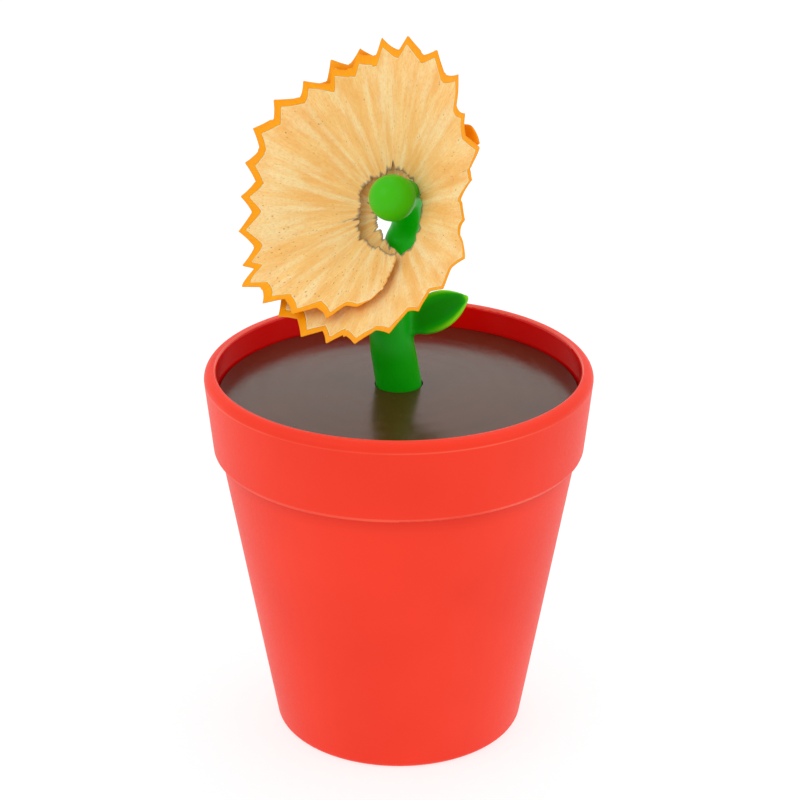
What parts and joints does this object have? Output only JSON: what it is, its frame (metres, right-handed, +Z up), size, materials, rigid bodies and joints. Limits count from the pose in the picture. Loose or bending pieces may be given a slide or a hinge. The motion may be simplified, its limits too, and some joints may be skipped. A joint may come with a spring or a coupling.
{
  "type": "pencil sharpener",
  "caption": "Desk pencil sharpener shaped as a potted flower: tapered pot with a banded rim, sharpener in its floor, soil lid, hooked stem with a leaf and a pencil shaving as the flower.",
  "frame": {"origin": "mouth of the pencil bore, in the middle of the pot's underside, in the plane that the pot stands on", "axes": "+Z up along the pot and the pencil bore; -Y is the front, where the flower faces; +X to the right"},
  "size_m": [0.05, 0.05, 0.0898],
  "materials": {
    "pot_red": "satin",
    "cradle_red": "satin",
    "block_metal": "satin",
    "blade_steel": "ground",
    "screw_steel": "plated",
    "soil_brown": "semi-gloss",
    "stem_green": "gloss",
    "shaving_wood": "raw",
    "shaving_lacquer": "gloss lacquer"
  },
  "bodies": {
    "pot": {"pot_shell": "pot_red", "sharpener_cradle": "cradle_red", "sharpener_body": "block_metal", "sharpener_blade": "blade_steel", "blade_screw": "screw_steel"},
    "lid": {"soil_lid": "soil_brown"},
    "stem": {"stem_with_leaf": "stem_green"},
    "flower": {"shaving_wood": "shaving_wood", "shaving_lacquer": "shaving_lacquer"}
  },
  "joints": [
    {"name": "lid_lift", "type": "slide", "parent": "pot", "child": "lid", "axis": [0, 0, 1], "range_m": [0, 0.04]},
    {"name": "stem_pull", "type": "slide", "parent": "lid", "child": "stem", "axis": [0, 0, 1], "range_m": [0, 0.012]},
    {"name": "flower_off", "type": "slide", "parent": "stem", "child": "flower", "axis": [-0.2404, -0.7012, 0.6712], "range_m": [0, 0.025]}
  ]
}
